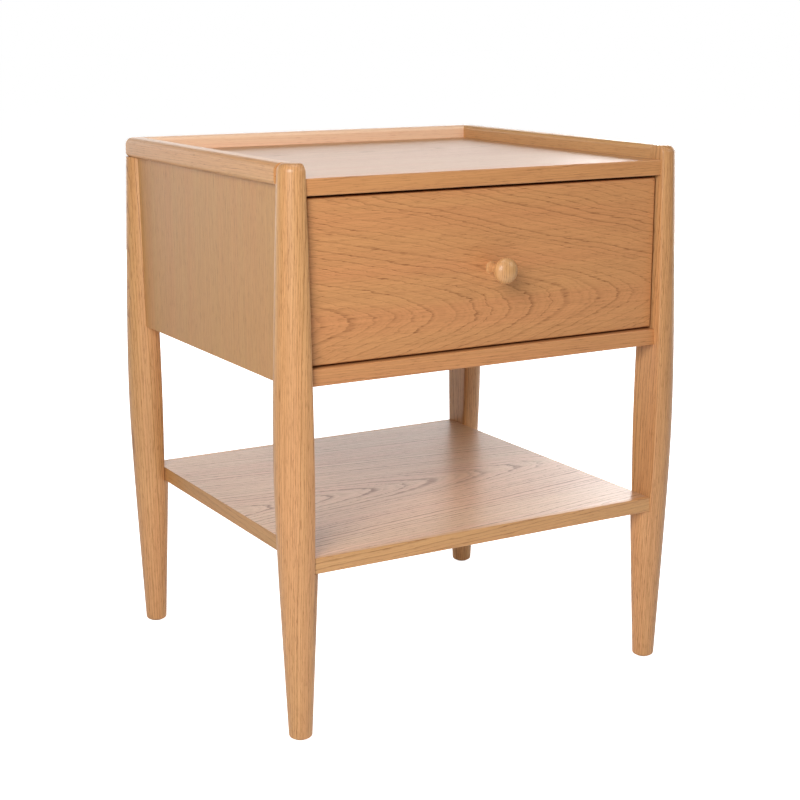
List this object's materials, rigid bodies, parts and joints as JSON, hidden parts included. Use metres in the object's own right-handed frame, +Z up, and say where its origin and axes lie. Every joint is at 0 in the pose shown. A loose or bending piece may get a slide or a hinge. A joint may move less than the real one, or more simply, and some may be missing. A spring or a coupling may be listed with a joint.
{
  "type": "bedside cabinet",
  "caption": "Oak bedside cabinet with a drawer on ball runners, an open lower shelf, turned legs and a low gallery round three sides of the top.",
  "frame": {"origin": "on the floor, under the middle of the cabinet's outline with its drawer shut and its knob included", "axes": "+Z up; the drawer opens towards -Y, which is the front; +X is to the right of someone facing the drawer"},
  "size_m": [0.5018, 0.4695, 0.6],
  "materials": {
    "oak_frame": "solid oak, clear satin lacquer, grain along each piece",
    "oak_panel": "oak-veneered panel, upright straight grain, satin lacquer",
    "oak_front": "oak drawer front, crown-cut grain across the width, satin lacquer",
    "oak_shelf": "oak top and shelf, crown-cut grain across the width, satin lacquer",
    "drawer_wood": "pale hardwood drawer box, clear sealed",
    "beech": "beech dowel, untreated",
    "steel": "zinc-plated steel",
    "nylon": "off-white nylon glide"
  },
  "bodies": {
    "cabinet": {"leg_front_left": "oak_frame", "leg_front_right": "oak_frame", "leg_back_left": "oak_frame", "leg_back_right": "oak_frame", "gallery_left": "oak_frame", "gallery_right": "oak_frame", "gallery_back": "oak_frame", "top_panel": "oak_shelf", "top_lipping": "oak_frame", "side_panel_left": "oak_panel", "side_panel_right": "oak_panel", "back_panel": "oak_panel", "case_bottom": "oak_panel", "bottom_rail": "oak_frame", "shelf_panel": "oak_shelf", "shelf_lipping_front": "oak_frame", "shelf_lipping_back": "oak_frame", "runner_case_left": "steel", "runner_case_right": "steel", "runner_case_screws": "steel", "back_panel_screws": "steel", "frame_dowels": "beech", "case_dowels": "beech", "gallery_dowels": "beech", "foot_glides": "nylon"},
    "drawer": {"drawer_front": "oak_front", "drawer_side_left": "drawer_wood", "drawer_side_right": "drawer_wood", "drawer_inner_front": "drawer_wood", "drawer_back": "drawer_wood", "drawer_bottom": "drawer_wood", "knob": "oak_frame", "knob_screw": "steel", "runner_drawer_left": "steel", "runner_drawer_right": "steel", "runner_drawer_screws": "steel", "drawer_front_screws": "steel", "drawer_dowels": "beech"},
    "runner_middle": {"runner_middle_left": "steel", "runner_middle_right": "steel"},
    "ball_cages_outer": {"ball_cage_outer_left": "steel", "ball_cage_outer_right": "steel"},
    "ball_cages_inner": {"ball_cage_inner_left": "steel", "ball_cage_inner_right": "steel"}
  },
  "joints": [
    {"name": "drawer_slide", "type": "slide", "parent": "cabinet", "child": "drawer", "axis": [0, -1, 0], "range_m": [0, 0.32]},
    {"name": "middle_slide", "type": "slide", "parent": "cabinet", "child": "runner_middle", "axis": [0, -1, 0], "range_m": [0, 0.16]},
    {"name": "outer_cage_slide", "type": "slide", "parent": "cabinet", "child": "ball_cages_outer", "axis": [0, -1, 0], "range_m": [0, 0.08]},
    {"name": "inner_cage_slide", "type": "slide", "parent": "cabinet", "child": "ball_cages_inner", "axis": [0, -1, 0], "range_m": [0, 0.24]}
  ],
  "couplings": [
    {"joint": "middle_slide", "follows": "drawer_slide", "ratio": 0.5},
    {"joint": "outer_cage_slide", "follows": "drawer_slide", "ratio": 0.25},
    {"joint": "inner_cage_slide", "follows": "drawer_slide", "ratio": 0.75}
  ]
}
